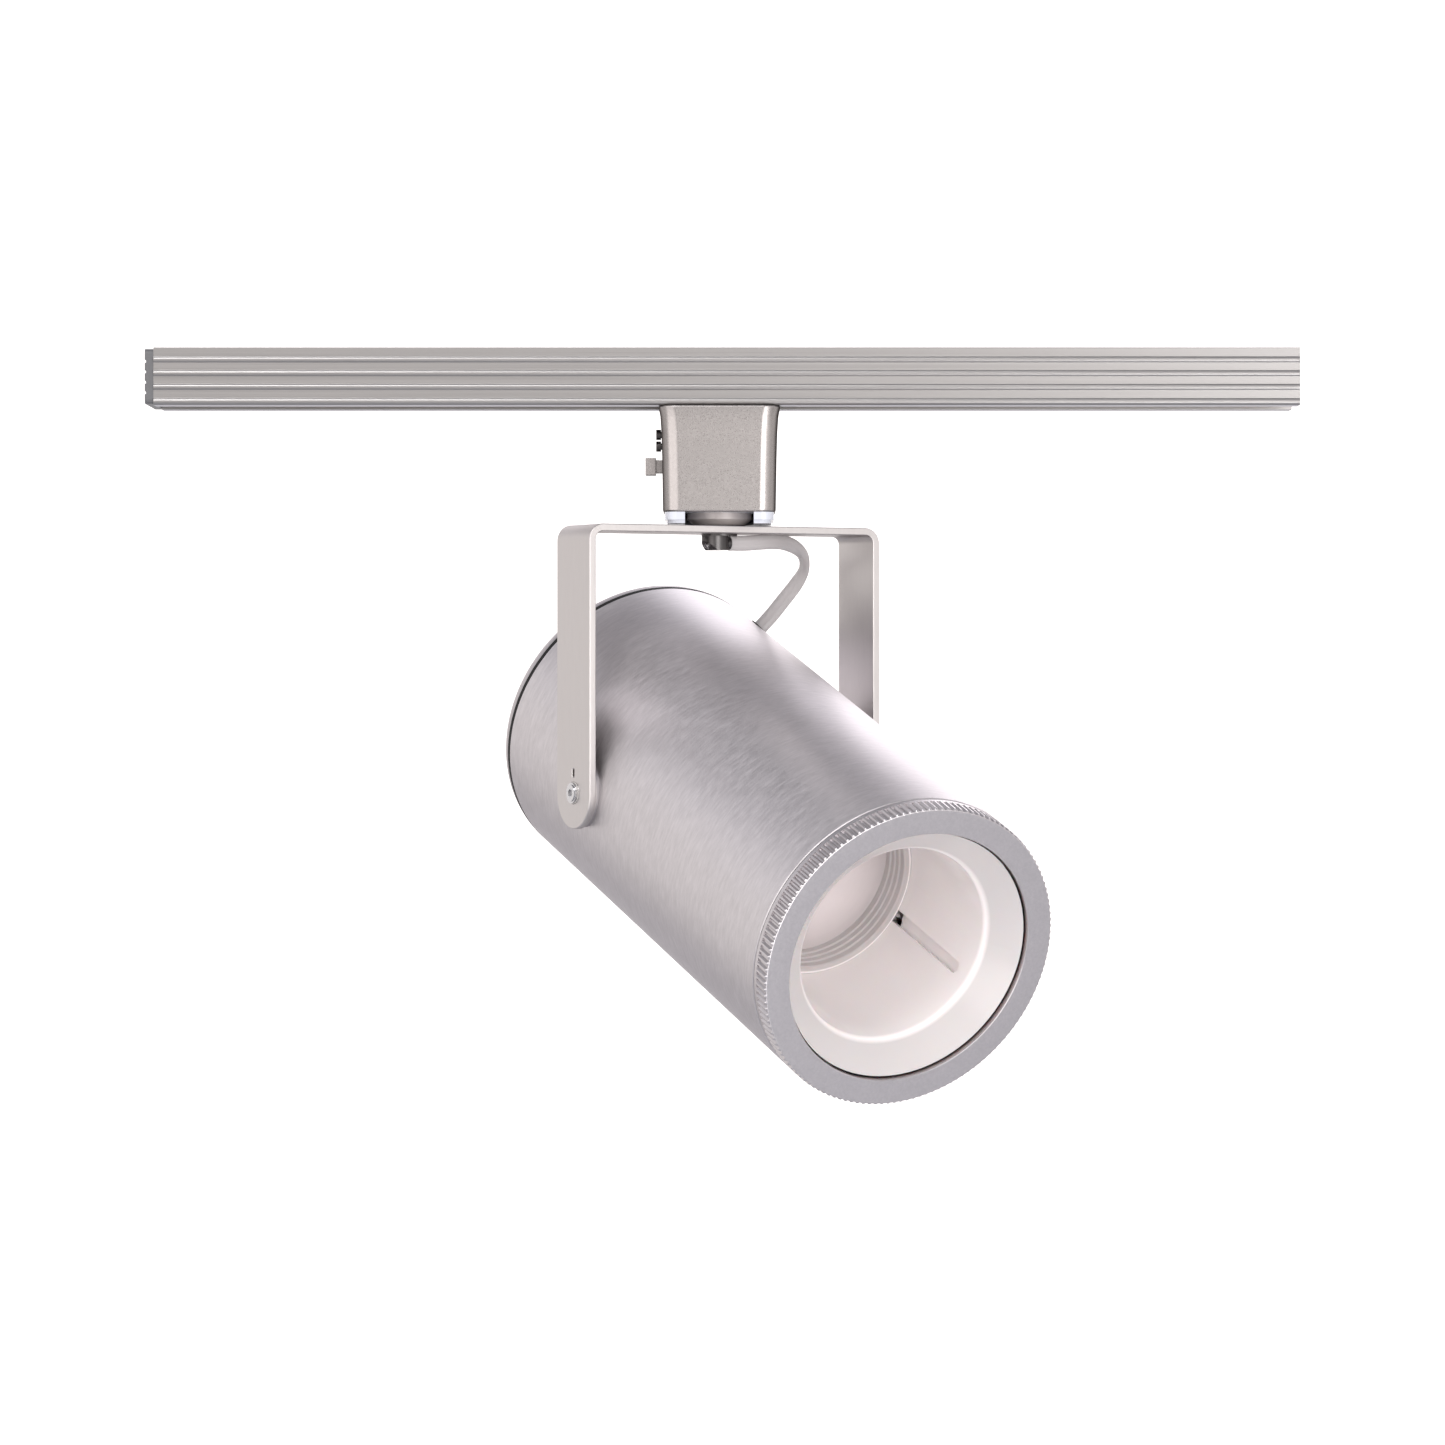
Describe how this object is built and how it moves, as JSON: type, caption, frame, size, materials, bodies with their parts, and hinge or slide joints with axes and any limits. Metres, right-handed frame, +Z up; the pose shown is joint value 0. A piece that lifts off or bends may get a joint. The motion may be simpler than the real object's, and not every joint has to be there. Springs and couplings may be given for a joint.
{
  "type": "track spotlight",
  "caption": "Cylindrical zoom spotlight on a yoke, hung from a sliding adapter in a short length of aluminium lighting track, with a turning focus ring.",
  "frame": {"origin": "centre of the track's top face, on the axis of the yoke's swivel stem", "axes": "+Z up out of the ceiling face, +X along the track towards its open end, -Y towards the viewer's side"},
  "size_m": [0.3321, 0.1918, 0.2135],
  "materials": {
    "rail_metal": "satin anodised, long-grain extrusion lines",
    "liner_plastic": "plain",
    "copper": "drawn copper",
    "dark_plastic": "fine texture",
    "bright_steel": "machined",
    "satin_cast": "satin nickel over casting, fine grain",
    "boss_satin": "satin nickel, smooth cast",
    "cover_plastic": "smooth",
    "black_plastic": "fine texture",
    "dark_steel": "zinc, dulled",
    "yoke_metal": "satin nickel, fine grain",
    "cord_jacket": "smooth twin flex",
    "brushed_nickel": "brushed round the tube",
    "black_rubber": "plain",
    "cap_metal": "satin nickel",
    "white_plastic": "plain",
    "sink_aluminium": "extruded",
    "board_white": "solder mask",
    "led_phosphor": "silicone",
    "clear_acrylic": "polished",
    "white_gloss": "moulded gloss white",
    "ring_metal": "satin face, cut teeth",
    "lens_glass": "coated"
  },
  "bodies": {
    "track": {"track_rail": "rail_metal", "insulator_front": "liner_plastic", "insulator_rear": "liner_plastic", "conductor_live": "copper", "conductor_neutral": "copper", "ground_strip": "copper", "track_end_cap": "dark_plastic", "end_cap_screw": "bright_steel"},
    "adapter": {"adapter_housing": "satin_cast", "adapter_bottom_cover": "cover_plastic", "adapter_neck": "black_plastic", "contact_live": "copper", "contact_neutral": "copper", "ground_contact": "copper", "adapter_screws": "bright_steel", "swivel_bushing": "boss_satin", "lever_guide_rivets": "dark_steel"},
    "lock_lever": {"lock_lever": "satin_cast"},
    "yoke": {"yoke_bracket": "yoke_metal", "swivel_stem": "bright_steel", "stem_clip": "bright_steel", "swivel_washer": "black_plastic", "stem_nut": "dark_steel", "cord_elbow": "dark_steel", "elbow_set_screw": "bright_steel", "arm_bushings": "liner_plastic", "power_cord": "cord_jacket"},
    "head": {"body_tube": "brushed_nickel", "rear_gasket": "black_rubber", "rear_cap": "cap_metal", "rear_cap_screws": "bright_steel", "driver_housing": "white_plastic", "heat_sink": "sink_aluminium", "led_board": "board_white", "led_emitter": "led_phosphor", "led_holder": "white_plastic", "collimator_lens": "clear_acrylic", "collimator_holder": "white_plastic", "standoffs": "bright_steel", "guide_sleeve": "white_gloss", "sleeve_screws": "bright_steel", "pivot_screws": "bright_steel", "pivot_spacers": "cap_metal", "friction_washers": "yoke_metal", "pivot_nut_plates": "bright_steel", "cord_grommet": "black_rubber"},
    "focus_ring": {"focus_ring": "ring_metal", "cam_sleeve": "white_gloss", "ring_screws": "dark_steel"},
    "lens_group": {"lens_carrier": "white_gloss", "zoom_lens": "lens_glass", "lens_retainer": "black_plastic", "follower_pin": "bright_steel"}
  },
  "joints": [
    {"name": "adapter_slide", "type": "slide", "parent": "track", "child": "adapter", "axis": [1, 0, 0], "range_m": [-0.14, 0.14]},
    {"name": "lever_slide", "type": "slide", "parent": "adapter", "child": "lock_lever", "axis": [0, 0, 1], "range_m": [-0.005, 0]},
    {"name": "yoke_pan", "type": "hinge", "parent": "adapter", "child": "yoke", "pos_m": [0, 0, -0.051], "axis": [0, 0, 1], "range_deg": [-175, 175]},
    {"name": "head_tilt", "type": "hinge", "parent": "yoke", "child": "head", "pos_m": [0, 0, -0.128], "axis": [0.8796, 0.4756, 0], "range_deg": [-22, 68], "deforming": ["power_cord"]},
    {"name": "focus_turn", "type": "hinge", "parent": "head", "child": "focus_ring", "pos_m": [0, 0, -0.128], "axis": [0.441, -0.8156, -0.3746], "range_deg": [0, 120]},
    {"name": "lens_slide", "type": "slide", "parent": "head", "child": "lens_group", "axis": [0.441, -0.8156, -0.3746], "range_m": [0, 0.037]}
  ],
  "couplings": [
    {"joint": "lens_slide", "follows": "focus_turn", "m_per_rad": 0.017666}
  ]
}
